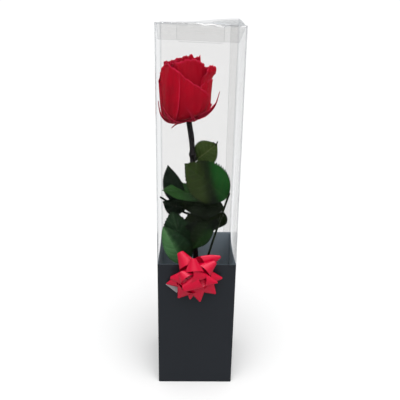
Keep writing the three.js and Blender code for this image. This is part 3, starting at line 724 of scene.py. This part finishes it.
def sleeve_part():
    """The clear walls as a looped solid: up the outside, over the top edge and down the inside."""
    flat = outline(HALF, FOLD_RADIUS)
    top = np.where(flat[:, 1] < 2 * FOLD_RADIUS - HALF, BOX_TOP, BOX_TOP - 0.9) + corner_rise(*flat.T)
    heights = [PRINT_TOP + (top - PRINT_TOP) * t for t in np.linspace(0, 1, 25)]
    rows = [wall_ring(HALF, FOLD_RADIUS, z) for z in heights]
    rows += [wall_ring(INSIDE, FOLD_RADIUS - WALL, z) for z in heights[::-1]]
    return creased(rings(np.array(rows), looped=True))


def dust_flap(side):
    """A side wall's flap: it leaves the wall's top edge in a small fold, runs in under the lid and sinks a little."""
    u, v, edge = edged_grid(24, 20, DUST_LENGTH, 80)
    run = u * DUST_LENGTH
    fold = np.minimum(run / 1.2, np.pi / 2)
    x = side * (INSIDE - 0.8 * (1 - np.cos(fold)) - np.maximum(run - 1.9, 0))
    y = v * (INSIDE - 3.5 - 6 * smoothstep(0.82, 1, u) ** 2)
    sink = 0.6 * smoothstep(4, 30, run) + 0.3 * bell(v, 0.4, 0.5) * u
    z = BOX_TOP - 2.1 + 0.8 * np.sin(fold) - sink + 0.8 * corner_rise(x, y)
    return sheet(stack(x, y, z), WALL, edge, flip=side > 0)


def lid_part():
    """The lid and its tuck flap as one sheet: from the back fold to the front edge, and down behind the front wall."""
    reach, bend, steepest = 2 * HALF - 1.4, 1.0, np.pi / 2 - 0.1
    u, v, edge = edged_grid(60, 28, reach + TUCK_LENGTH, 2 * HALF)
    run = np.where(u < 0.7, u / 0.7 * reach, reach + (u - 0.7) / 0.3 * TUCK_LENGTH)
    past = np.maximum(run - reach, 0)
    turn = np.minimum(past / bend, steepest)
    down = bend * (1 - np.cos(turn)) + np.maximum(past - bend * steepest, 0)
    narrow = 0.9 + (3.6 + 2 * v) * np.clip(past / TUCK_LENGTH, 0, 1)
    x = v * (INSIDE - narrow + 0.6 * (past == 0))
    y = HALF - 0.4 - np.minimum(run, reach) - 0.5 * np.sin(turn) + 0.1 * np.maximum(down - 1, 0)
    z = BOX_TOP - 0.65 - down - 0.5 * bell(x, 6, 26) * bell(u, 0.38, 0.2) + corner_rise(x, y)
    # Painted shade along the sheet's edges and across the front fold.
    fold = np.maximum(edge, 0.6 * bell(run, reach, 1.2))
    # Painted highlight: a white glint along the front fold at the right.
    white = bell(run, reach + 0.3, 0.7) * smoothstep(0.84, 0.9, v)
    return sheet(stack(x, y, z), WALL, fold, white, flip=True)


def seal_part():
    """The film: from the lid's top over the front edge and down the wall, with small wrinkles where it bends."""
    low, high = node_box("seal_strip")
    width, on_top, drop = high - low
    u, v, edge = edged_grid(64, 60, on_top + drop, width, 0.8)
    run = u * (on_top + drop)
    past = run - on_top + 1
    turn = np.clip(past / 1.2, 0, np.pi / 2)
    wrinkle = 0.35 * bell(run, on_top, 3.5) * np.sin(v * 19 + np.sin(v * 7) * 2) * smoothstep(-1, 0.6, v)
    x = (low[0] + high[0]) / 2 + v * (width / 2 - 2.5 * smoothstep(0.93, 1, u))
    y = high[1] - np.minimum(run, on_top - 1) - 0.75 * np.sin(turn) + 0.15
    z = high[2] - 0.2 - 0.75 * (1 - np.cos(turn)) - np.maximum(past - 1.9, 0) + np.minimum(wrinkle, 0.1)
    # Painted highlight: white glints along the film's fold.
    white = bell(past, 1.4 + 1.2 * v + 0.6 * np.sin(9 * v), 0.7) * smoothstep(-0.3, 0.1, v) * smoothstep(1, 0.9, v)
    points = stack(x, y - np.abs(wrinkle) * 0.4, z + corner_rise(x, y))
    # The film's edges get the painted shade of the folds.
    return sheet(points, FILM, edge, white, flip=True)


# ---------- the rose ----------
def stem_part():
    """A bar along the stem's path with knobs, a slight change of girth and shallow ridges."""
    path = smooth_path(STEM_PATH, 200)
    height = path[:, 2]
    radius = STEM_RADIUS * (1 - 0.05 * (height / 300)) + 0.12 * np.sin(height / 9) + 0.1 * np.sin(height / 3.7)
    for middle, rise, half_length in STEM_KNOBS:
        radius = radius + rise * bell(height, middle, half_length)
    return tube(path, radius, 28, ridges=0.12)


def petal_part(petal):
    """A piece of a turned cup, whose side profile is a spline through the PROFILE shares, run up to the petal's rim.

    close pulls the profile in towards the top. From start up to end the petal curls out by open, and its edge rolls
    back. A petal whose rim lies past the first number of over folds outwards there, on an arc of the second number's
    radius and the third one's degrees, and then runs on straight. Long soft folds, which are sines across the petal,
    deepen towards the rim, and pleats are single bell-shaped ones. The head's underside rises from its left to its
    right.
    """
    u, v = grid(*petal["steps"])
    turn, span = np.radians([petal["turn"], petal["span"]])
    rim = spline(petal["rim"], (len(petal["rim"]) - 1) / 2 * (v + 1))
    for place, width, height in petal["tips"]:
        rim = rim + height * bell(v, place, width)
    rim = rim + 0.006 * np.sin(19 * v + 5 * turn) + 0.004 * np.sin(43 * v + 9 * turn)
    t = u * rim
    start, bend, most = petal["over"]
    across, up = np.moveaxis(spline(PROFILE, (len(PROFILE) - 1) * np.minimum(t, start)), -1, 0)
    past = petal["height"] * np.maximum(0, t - start)
    turned = np.minimum(past / bend, np.radians(most))
    straight = past - bend * turned
    radius = petal["radius"] * across * (1 - petal["close"] * t**2)
    radius = radius + bend * (1 - np.cos(turned)) + straight * np.sin(turned)
    height = petal["height"] * up + bend * np.sin(turned) + straight * np.cos(turned)
    curl = petal["open"] * np.clip((t - petal["start"]) / (petal["end"] - petal["start"]), 0, 1.1) ** 1.6
    lip = petal["roll"] * smoothstep(0.94, 1, u) ** 2
    folds = 0.34 * np.sin(5.2 * v + 3 * turn + 2.4 * u) + 0.13 * np.sin(11.7 * v + 5 * turn - 3.5 * u)
    folds = folds + 0.05 * np.sin(29 * v + 7 * turn - 4 * u)
    for place, width, rise in petal["pleats"]:
        folds = folds + rise * bell(v, place * (0.75 + 0.25 * u), width)
    folds = petal["fold"] * folds
    ruffle = smoothstep(0.75, 1, u) * (0.5 * np.sin(11 * v + 4 * turn) + 0.3 * np.sin(25 * v + 2 * turn))
    lean = petal["skew"] * v * np.minimum(1, 2 * t)
    out = radius + curl + lip + lean + folds * smoothstep(0.1, 0.7, u) + ruffle
    angle = turn + v * span * (0.45 + 0.55 * np.sin(np.pi / 2 * np.minimum(1, 1.5 * t)))
    rise = height - 0.4 * curl - 0.5 * lip + (2.5 + 5.3 * np.cos(angle)) * bell(t, 0.25, 0.18)
    side = np.abs(v)
    thickness = 0.75 - 0.45 * smoothstep(0.75, 1, u) - 0.3 * smoothstep(0.85, 1, side)
    # Painted highlight: a paler line along the rim and the side edges.
    edge = 0.8 * np.clip(smoothstep(0.98, 1, u) + 0.7 * smoothstep(0.97, 1, side), 0, 1)
    # Painted light and shade: darker low on the petal, lighter towards the rim and on the outward folds.
    tone = petal["tone"] + 0.6 * smoothstep(0.1, 0.9, u) + 0.2 * folds
    # Each of the shades is a place of painted shade.
    for place, width, along, length, depth in petal["shades"]:
        tone = tone - depth * bell(v, place, width) * bell(u, along, length)
    points = BLOOM + stack(out * np.cos(angle), out * np.sin(angle), rise)
    return sheet(points, thickness, np.clip(tone, 0, 1), edge)


def outer_petal_parts():
    """The petals that show from the sides."""
    return [petal_part({**PETAL, **own}) for own in OUTER_PETALS]


def inner_petal_parts():
    """The rings of inner petals, each petal turned by its share of the circle."""
    return [
        petal_part({**PETAL, **ring, "steps": INNER_STEPS, "turn": ring["turn"] + 360 * k / count})
        for count, ring in INNER_RINGS for k in range(count)
    ]


def sepal_part(width, path):
    """A long thin sepal along its path, widest before its middle, with its edges rolled in towards the head."""
    u, v = grid(48, 8)
    line = spline(BLOOM + np.array(path), u[:, 0] * (len(path) - 1))
    along = unit(np.gradient(line, axis=0))
    side = unit(np.cross(along, line - (BLOOM + np.array([0, 24, 22]))))
    away = np.cross(side, along)[:, None]
    half = 0.35 + width / 2 * np.sin(np.pi * (0.3 + 0.7 * u)) * (1 - u) ** 0.5 * (1 + 0.1 * np.sin(u * 30))
    points = line[:, None] + (v * half)[..., None] * side[:, None] + (0.5 - 0.12 * half * v**2)[..., None] * away
    # Paint: darker towards the foot, a painted shade under the head, and paler edges, a painted highlight.
    return sheet(points, 0.6 - 0.2 * np.abs(v), 0.45 + 0.4 * u, 0.85 * smoothstep(0.5, 1, np.abs(v)))


def cup_part():
    """The calyx cup: a turned profile with a rounded flank."""
    t = np.linspace(0, 1, 18)
    r = np.append(0.4 + 5.2 * np.sin(np.pi / 2 * np.minimum(1, 1.15 * t)) ** 0.8, 4.0)
    z = np.append(-1.4 + 3.3 * t**1.3, 2.0)
    angle = np.linspace(0, 2 * np.pi, 40, endpoint=False)
    r, z = r[:, None], z[:, None]
    return rings(stack(CUP_X + r * np.cos(angle), r * np.sin(angle), BLOOM[2] + z), paint=(0.5, 0, 0))


# ---------- the leaves ----------
def leaflet_part(
    base, tip, face, width, point=0.4, sides=(1, 1), arch=2.0, painted_shade=(0, 0), bright=(0, 0), fold=0, split=None
):
    """One leaflet. Its half width is sin(pi·u^0.82)^(0.62 + point·u^3) times saw teeth that point to the tip.

    The edges lift, the midrib bows by arch·4u(1-u), and the blade swells between side veins, whose lines are
    u - 0.2|v|^1.2 = k / VEINS. sides are the widths of its left and right half against the width. dark and bright are
    the painted shade and painted light of the two halves, and fold is painted shade in the crease between them and
    near the base. split moves the line between the halves from the midrib to a place along X. The edges are a little
    darker as well.
    """
    u, even = grid(TEETH * 9, 36)
    v = np.sign(even) * np.abs(even) ** 1.35
    side_of = np.abs(v)
    base, tip = np.array(base, float), np.array(tip, float)
    along = tip - base
    side = unit(np.cross(along, face))
    up = unit(np.cross(side, along))
    phase = (u * TEETH) % 1
    saw = np.where(phase < 0.82, phase / 0.82, (1 - phase) / 0.18) - 0.5
    shape = np.sin(np.pi * np.clip(u, 1e-4, 1 - 1e-4) ** 0.82) ** (0.62 + point * u**3)
    shape = shape * (sides[0] + (sides[1] - sides[0]) * smoothstep(-0.15, 0.15, v))
    edge = np.maximum(0.45, width / 2 * shape * (1 + 0.13 * saw * smoothstep(0.7, 1, side_of)))
    step = (u - 0.2 * side_of**1.2) * VEINS
    swell = np.abs(np.sin(np.pi * step)) ** 0.6
    inside = (1 - v**2) * smoothstep(0, 0.12, u) * smoothstep(1, 0.85, u)
    lift = 0.12 * side_of * edge + arch * 4 * u * (1 - u) + 0.6 * side_of * np.sin(u * 9 + v * 1.5)
    lift = lift + 0.45 * swell * inside - 0.5 * bell(v * edge, 0, 0.8) * inside
    reach = u + 0.012 * saw * smoothstep(0.8, 1, side_of)
    points = base + reach[..., None] * along + (v * edge)[..., None] * side + lift[..., None] * up
    midrib = bell(v * edge, 0, 0.7)
    thickness = 0.38 + 0.8 * (1 - 0.75 * u) * midrib * smoothstep(0, 0.05, 1 - u)
    near_vein = bell(step - np.round(step), 0, 0.09) * smoothstep(1, 0.8, side_of) * inside**0.3
    across = v if split is None else (points[..., 0] - split + 0.25 * (points[..., 2] - tip[2])) / 16
    half = smoothstep(-0.15, 0.4, across)
    # Painted light and shade of the two halves, more painted shade in the fold, and darker edges.
    bright = bright[0] + (bright[1] - bright[0]) * half * smoothstep(0, 0.3, 1 - u)
    painted_shade = painted_shade[0] + (painted_shade[1] - painted_shade[0]) * half + 0.25 * smoothstep(0.85, 1, side_of)
    painted_shade = painted_shade + fold * (0.7 * bell(across, 0, 0.42) + 0.4 * smoothstep(0.35, 0, u))
    rib, painted_shade, bright = np.clip([near_vein * 0.8 + midrib, painted_shade, bright], 0, 1)
    return sheet(points, thickness, rib, painted_shade, bright, front=1)


def leaf_parts(stalk, twigs, leaflets):
    """The stalk and side twigs as thin tapering bars, and the leaflets."""
    bars = [tube(smooth_path(stalk, 60), np.linspace(1.4, 1.1, 61), 12, paint=TWIG_PAINT)]
    bars += [tube(smooth_path(twig, 20), 0.62, 10, paint=TWIG_PAINT) for twig in twigs]
    return bars + [leaflet_part(**leaflet) for leaflet in leaflets]


# ---------- the bow ----------
def loop_part(tip, height, cone, blunt, ribbon, aim=(0, 0), flat=0.72, tilt=14, hold=0.55):
    """A straight ribbon wrapped on a cone whose point is the loop's tip, both ends brought together in the hub.

    On the flat ribbon x runs along it and y is the distance of its line from the cone's point. A point there lies
    hypot(x, y) from the cone's point and is turned round the cone by atan2(x, y) / sin(cone).
    """
    u, v = grid(96, 14)
    hub = BOW_HUB + np.array([0, -height, 0])
    point = BOW_HUB + np.array([tip[0], -tip[1], tip[2]])
    line = point - hub - np.array([aim[0], 0, aim[1]])
    length = np.linalg.norm(line)
    line = line / length
    side = unit(np.cross([0, -1, 0], line))
    away = np.cross(line, side)
    tilt, cone = np.radians([tilt, cone])
    axis = line * np.cos(tilt) - away * np.sin(tilt)
    front = line * np.sin(tilt) + away * np.cos(tilt)
    along = 2 * u - 1
    x = (1.05 * length + 3) * np.sign(along) * np.abs(along) ** 1.4
    y = blunt + ribbon * (v + 1) / 2
    reach = np.hypot(x, y)
    turn = np.arctan2(x, y) / np.sin(cone)
    wide = reach * np.sin(cone)
    parts = (-reach * np.cos(cone), wide * np.cos(turn) * flat, wide * np.sin(turn))
    wrapped = point + sum(a[..., None] * b for a, b in zip(parts, (axis, front, side)))
    at_hub = hub + (np.sign(x) * (0.8 + (y - blunt) * 0.2))[..., None] * side + 1.5 * away
    held = smoothstep(hold, 1, np.abs(along))[..., None]
    # Painted shade on the ribbon's ends towards the hub.
    return sheet(wrapped * (1 - held) + at_hub * held, 0.15, smoothstep(hold, 0.98, np.abs(along)) * 0.8)


def bow_parts(ribbon):
    """All loops, tier by tier, round a short drum that they are held on."""
    loops = [loop_part(height=height, **{"ribbon": ribbon, **loop}) for height, tier in TIERS.items() for loop in tier]
    drum = BOW_HUB - stack(0, np.linspace(0.3, 12, 12), 0)
    # The drum gets full painted shade.
    return loops + [tube(drum, 4.0, 24, paint=(1, 0, 0))]


def tab_part():
    """The corner of the pad's backing paper that stands out below the bow's left loops."""
    u, v = grid(8, 8)
    across = v / 2 + 0.5
    left, top, bottom, right = np.array(TAB_CORNERS)[:, :, None, None]
    x, z = (1 - u) * ((1 - across) * left + across * top) + u * ((1 - across) * bottom + across * right)
    return sheet(stack(x, BOW_HUB[1] + 0.6 - 0.4 * (1 - v) * u, z), 0.2)


# ---------- the add-on ----------
def colour_setting(name, default, description):
    """A colour setting."""
    return bpy.props.FloatVectorProperty(
        name=name, description=description, subtype="COLOR", size=3, min=0, max=1, default=default
    )


def number_setting(name, default, description, least=0.0, most=1000.0, unit="NONE"):
    """A number setting."""
    return bpy.props.FloatProperty(
        name=name, description=description, unit=unit, min=least, max=most, default=default
    )


class BoxSettings(bpy.types.PropertyGroup):
    """Colours of the folded box."""

    print_colour: colour_setting("Print", (0.018, 0.021, 0.026), "Outside of the black print")
    inner_colour: colour_setting("Print inside", (0.25, 0.295, 0.335), "The print seen from inside the box")
    tint: colour_setting("Clear sheet", (0.876, 0.875, 0.874), "What the clear plastic lets through")
    # Painted shade: the greyer line that the clear sheet shows along its folds and edges.
    crease: colour_setting("Fold", (0.72, 0.73, 0.74), "What a folded corner of the clear plastic lets through")
    film_tint: colour_setting("Seal film", (0.965, 0.964, 0.962), "What the seal film lets through")


class RoseSettings(bpy.types.PropertyGroup):
    """Colours of the rose and its leaves."""

    petal: colour_setting("Petals", (0.35, 0.001, 0.012), "Petal colour")
    # Painted highlight: the paler line along the edges of petals and sepals.
    rim: colour_setting("Petal rims", (0.75, 0.03, 0.09), "The paler edge of a petal")
    sepal: colour_setting("Sepals", (0.2, 0.002, 0.012), "Dyed sepals")
    stem: colour_setting("Stem", (0.004, 0.003, 0.0035), "Bark")
    # The left leaf's nearly black green is painted shade, and the low leaf's paler green is painted light.
    leaf_top: colour_setting("Top leaf", (0.026, 0.046, 0.009), "Olive leaf")
    leaf_right: colour_setting("Right leaf", (0.0155, 0.0265, 0.004), "Dark green leaf")
    leaf_left: colour_setting("Left leaf", (0.006, 0.012, 0.007), "Nearly black leaf")
    leaf_low: colour_setting("Low leaf", (0.03, 0.085, 0.034), "Paler green leaf")


class BowSettings(bpy.types.PropertyGroup):
    """Size and colour of the ribbon."""

    width: number_setting("Ribbon width", 16 * MM, "Width of the bow's ribbon", 8 * MM, 25 * MM, "LENGTH")
    ribbon: colour_setting("Ribbon", (0.6, 0.001, 0.032), "Ribbon colour")
    shine: colour_setting("Ribbon shine", (0.72, 0.004, 0.035), "The ribbon's lighter ribs")


class StageSettings(bpy.types.PropertyGroup):
    """Camera and light."""

    lens: number_setting("Lens", 46.05, "Focal length in millimetres", 10, 200)
    key: number_setting("Key light", 2.7, "Strength of the soft light from above")
    fill: number_setting("Fill light", 0.9, "Strength of the low front light")
    surround: number_setting("Surround", 0.4, "Strength of the even light")
    backdrop: number_setting("Backdrop", 1.05, "How bright the backdrop looks")
    floor: colour_setting("Floor", (0.9, 0.9, 0.9), "Pale floor")


class GIFTROSE_OT_box(bpy.types.Operator):
    """Make the printed base, the clear sleeve, the lid and the seal film"""

    bl_idname = "giftrose.box"
    bl_label = "Box"

    def execute(self, context):
        own = context.scene.giftrose_box
        black = print_finish("Black print", own.print_colour, 0.22)
        inner = print_finish("Print from inside", own.inner_colour, 0.3)
        clear = clear_finish("Clear sheet", own.tint, own.crease, 0.03)
        film = clear_finish("Seal film", own.film_tint, own.crease, 0.08)
        parts = [base_part(), glue_flap(1.5, PRINT_TOP, finish=1)]
        make_piece("printed_base", parts, [black, inner], replaces=["box_base"])
        parts = [sleeve_part(), glue_flap(PRINT_TOP, BOX_TOP - 2), dust_flap(-1), dust_flap(1)]
        make_piece("clear_walls", parts, [clear], replaces=["clear_sleeve"])
        make_piece("lid_sheet", [lid_part()], [clear], body="lid", replaces=["lid"])
        make_piece("seal_film", [seal_part()], [film], body="lid", replaces=["seal_strip"])
        return {"FINISHED"}


class GIFTROSE_OT_rose(bpy.types.Operator):
    """Make the stem, the petals and the calyx, and finish the foam holder"""

    bl_idname = "giftrose.rose"
    bl_label = "Rose"

    def execute(self, context):
        own = context.scene.giftrose_rose
        bark = woody_finish("Bark", own.stem, rgba(own.stem, 2.2))
        make_piece("rose_stem", [stem_part()], [bark], replaces=["stem"], sharp=60)
        petals = petal_finish("Petal", own.petal, own.rim)
        make_piece("rose_petals", outer_petal_parts(), [petals], replaces=["bloom"], sharp=60)
        make_piece("rose_heart", inner_petal_parts(), [petals], replaces=["bloom"], sharp=60)
        sepals = petal_finish("Sepal", own.sepal, own.rim)
        parts = [cup_part()] + [sepal_part(*sepal) for sepal in SEPALS]
        make_piece("rose_calyx", parts, [sepals], replaces=["calyx"], sharp=60)
        refinish("stem_holder", foam_finish("Floral foam", (0.02, 0.04, 0.02)))
        return {"FINISHED"}


class GIFTROSE_OT_leaves(bpy.types.Operator):
    """Make the four compound leaves"""

    bl_idname = "giftrose.leaves"
    bl_label = "Leaves"

    def execute(self, context):
        for name, (vein, lit_patch, gloss, slot) in LEAF_LOOKS.items():
            base = getattr(context.scene.giftrose_rose, name)
            upper = leaf_finish(f"{name} upper", base, vein, lit_patch, gloss)
            under = leaf_finish(f"{name} underside", rgba(base, 1.6), vein, rgba(lit_patch, 1.2), 0.65)
            make_piece(f"{name}_fine", leaf_parts(**LEAVES[name]), [upper, under], replaces=[name], sharp=60)
        return {"FINISHED"}


class GIFTROSE_OT_bow(bpy.types.Operator):
    """Make the ribbon star bow, and finish its pad"""

    bl_idname = "giftrose.bow"
    bl_label = "Bow"

    def execute(self, context):
        own = context.scene.giftrose_bow
        ribbon = ribbon_finish("Ribbon", own.ribbon, own.shine)
        make_piece("ribbon_bow", bow_parts(own.width / MM), [ribbon], replaces=["bow"], sharp=50)
        refinish("bow_pad", plain_finish("White pad", (0.8, 0.8, 0.78), 0.8, 300.0, 0.3))
        paper = plain_finish("Backing paper", (0.36, 0.34, 0.35), 0.5, 30.0, 0.06)
        make_piece("backing_tab", [tab_part()], [paper])
        return {"FINISHED"}


def placed(thing, x, y, z, place):
    """Links an object into the scene, with these three axes and at this place."""
    thing.matrix_world = Matrix(np.vstack([np.transpose([x, y, z, place]), [0, 0, 0, 1]]).tolist())
    bpy.context.scene.collection.objects.link(thing)
    return thing


class GIFTROSE_OT_stage(bpy.types.Operator):
    """Make the floor, the light and the camera"""

    bl_idname = "giftrose.stage"
    bl_label = "Stage"

    def execute(self, context):
        own = context.scene.giftrose_stage
        self.floor(context, own.floor)
        self.surround(context, own.surround, own.backdrop)
        for name, (angle, place) in SUNS.items():
            sun = bpy.data.lights.new(name, "SUN")
            sun.angle, sun.energy = np.radians(angle), getattr(own, name)
            back = unit(np.array(place) - LIT_POINT)
            right = unit(np.cross([0, 0, 1], back))
            lamp = placed(bpy.data.objects.new(name, sun), right, np.cross(back, right), back, place)
            lamp.visible_transmission = False
        self.camera(context, own.lens)
        context.scene.view_settings.view_transform = "Standard"
        return {"FINISHED"}

    def floor(self, context, colour):
        """A flat square with the box on its middle."""
        u, v = grid(2, 2)
        corners = FLOOR_HALF * stack(2 * u - 1, v, 0).reshape(-1, 3)
        mesh = bpy.data.meshes.new("floor")
        mesh.from_pydata(corners, [], [(k, k + 1, k + 4, k + 3) for k in (0, 1, 3, 4)])
        mesh.flip_normals()
        mesh.materials.append(floor_finish("Floor", colour))
        floor = bpy.data.objects.new("floor", mesh)
        context.scene.collection.objects.link(floor)

    def surround(self, context, light, backdrop):
        """An even white light that looks brighter, as a backdrop, to the camera and through the clear plastic."""
        world = bpy.data.worlds.new("Studio")
        world.use_nodes = True
        tree = world.node_tree
        path = add(tree, "ShaderNodeLightPath").outputs
        seen = math(tree, "MAXIMUM", path["Is Camera Ray"], path["Is Transmission Ray"])
        strength = add(tree, "ShaderNodeMapRange", {0: seen, 3: light, 4: backdrop})
        background = tree.nodes["Background"].inputs
        background["Color"].default_value = (1, 1, 1, 1)
        tree.links.new(strength.outputs[0], background["Strength"])
        context.scene.world = world

    def camera(self, context, lens):
        """The camera that saw the box: its place, its pitch down, its turn to the right and its lean."""
        pitch, yaw, lean = np.radians(CAMERA_ANGLES)
        ahead = np.array([np.sin(yaw) * np.cos(pitch), np.cos(yaw) * np.cos(pitch), -np.sin(pitch)])
        right = np.array([np.cos(yaw), -np.sin(yaw), 0])
        up = np.cross(right, ahead)
        right, up = np.cos(lean) * right + np.sin(lean) * up, np.cos(lean) * up - np.sin(lean) * right
        data = bpy.data.cameras.new("camera")
        data.lens, data.sensor_width = lens, 36
        camera = bpy.data.objects.new("camera", data)
        context.scene.camera = placed(camera, right, up, -ahead, CAMERA_PLACE * MM)


class GIFTROSE_PT_panel(bpy.types.Panel):
    """Lists the settings and the makers"""

    bl_label = "Gift rose"
    bl_space_type = "VIEW_3D"
    bl_region_type = "UI"
    bl_category = "Gift rose"

    def draw(self, context):
        for part in SETTINGS:
            own = getattr(context.scene, f"giftrose_{part}")
            for name in own.bl_rna.properties.keys():
                if name not in ("rna_type", "name"):
                    self.layout.prop(own, name)
        for maker in MAKERS:
            self.layout.operator(maker.bl_idname)


SETTINGS = {"stage": StageSettings, "box": BoxSettings, "rose": RoseSettings, "bow": BowSettings}
MAKERS = [GIFTROSE_OT_stage, GIFTROSE_OT_box, GIFTROSE_OT_rose, GIFTROSE_OT_leaves, GIFTROSE_OT_bow]
CLASSES = [*SETTINGS.values(), *MAKERS, GIFTROSE_PT_panel]


def register():
    for kind in CLASSES:
        bpy.utils.register_class(kind)
    for name, kind in SETTINGS.items():
        setattr(bpy.types.Scene, f"giftrose_{name}", bpy.props.PointerProperty(type=kind))


def unregister():
    for name in SETTINGS:
        delattr(bpy.types.Scene, f"giftrose_{name}")
    for kind in reversed(CLASSES):
        bpy.utils.unregister_class(kind)


def main():
    """Makes everything in order."""
    register()
    bpy.ops.giftrose.stage()
    bpy.ops.giftrose.box()
    bpy.ops.giftrose.rose()
    bpy.ops.giftrose.leaves()
    bpy.ops.giftrose.bow()


if __name__ == "__main__":
    main()
